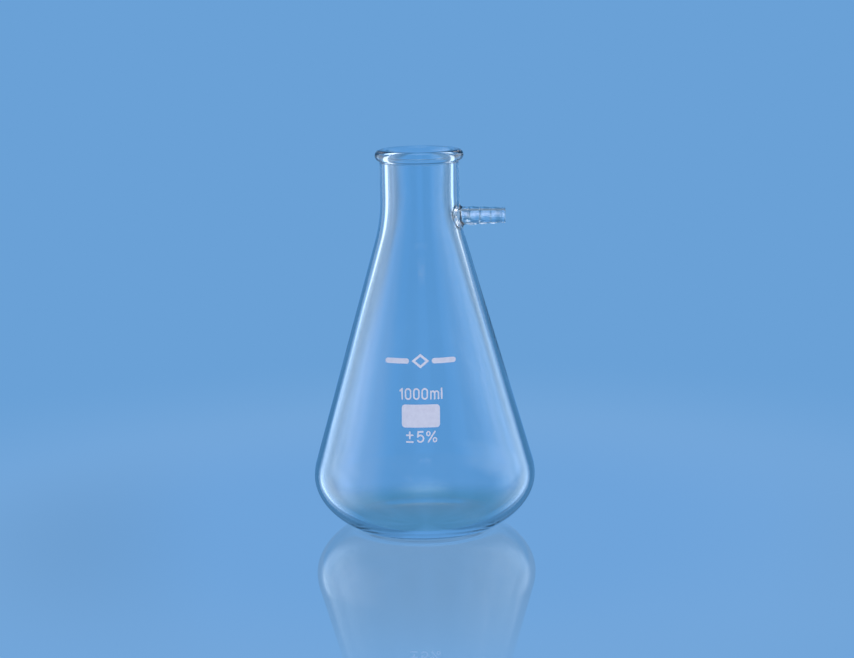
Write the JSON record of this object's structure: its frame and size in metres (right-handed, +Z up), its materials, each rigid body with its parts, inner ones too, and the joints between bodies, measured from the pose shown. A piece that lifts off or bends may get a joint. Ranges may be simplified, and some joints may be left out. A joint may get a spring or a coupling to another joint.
{
  "type": "buchner flask",
  "caption": "Heavy-wall conical glass filter flask with a rolled rim, a straight neck and a serrated side arm for a vacuum hose, with white enamel marks.",
  "frame": {"origin": "on the flask's axis, in the plane of the ring that it stands on", "axes": "+Z up along the flask's axis towards the mouth, +X along the side arm towards its tip, and the enamel marks face -Y"},
  "size_m": [0.135, 0.135, 0.23],
  "materials": {
    "clear_glass": "polished",
    "white_enamel": "fired satin"
  },
  "bodies": {
    "root": {"flask_body": "clear_glass", "side_arm": "clear_glass", "emblem": "white_enamel", "capacity_mark": "white_enamel", "marking_patch": "white_enamel", "tolerance_mark": "white_enamel"}
  },
  "joints": []
}
